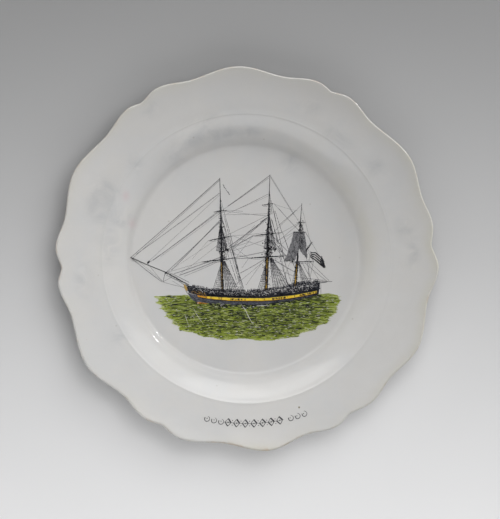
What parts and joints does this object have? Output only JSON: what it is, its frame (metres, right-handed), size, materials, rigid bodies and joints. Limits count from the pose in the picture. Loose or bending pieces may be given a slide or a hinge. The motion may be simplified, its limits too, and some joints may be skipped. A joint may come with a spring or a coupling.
{
  "type": "souvenir plate",
  "caption": "Round shallow dinner plate with a scalloped lobed rim, a foot ring underneath, and a printed and enamelled sailing ship in the well.",
  "frame": {"origin": "centre of the foot ring, on the plane that the plate rests on", "axes": "+Z out of the face of the plate, +Y the picture's up, +X the picture's right"},
  "size_m": [0.248, 0.2496, 0.0247],
  "materials": {
    "glaze": "greyish cream lead glaze, glossy, with faint grey clouding and light wear at the lip",
    "ink": "black fired print with a slight blue cast, a little broken by wear",
    "green_enamel": "olive green brushed enamel, streaky, with a few scratches",
    "yellow_enamel": "warm yellow brushed enamel",
    "orange_enamel": "thin brownish orange brushed enamel"
  },
  "bodies": {
    "root": {"plate_body": "glaze", "sea_enamel": "green_enamel", "hull_upper_print": "ink", "hull_lower_print": "ink", "bowsprit_print": "ink", "fore_mast_print": "ink", "main_mast_print": "ink", "mizzen_mast_print": "ink", "mizzen_sail_fore_print": "ink", "mizzen_sail_aft_print": "ink", "gaff_print": "ink", "ensign_print": "ink", "pennant_print": "ink", "rim_ornament_print": "ink", "hull_band_enamel": "yellow_enamel", "bow_enamel": "yellow_enamel", "waterline_enamel": "orange_enamel", "fore_lower_mast_enamel": "orange_enamel", "main_lower_mast_enamel": "orange_enamel", "mizzen_lower_mast_enamel": "orange_enamel"}
  },
  "joints": []
}
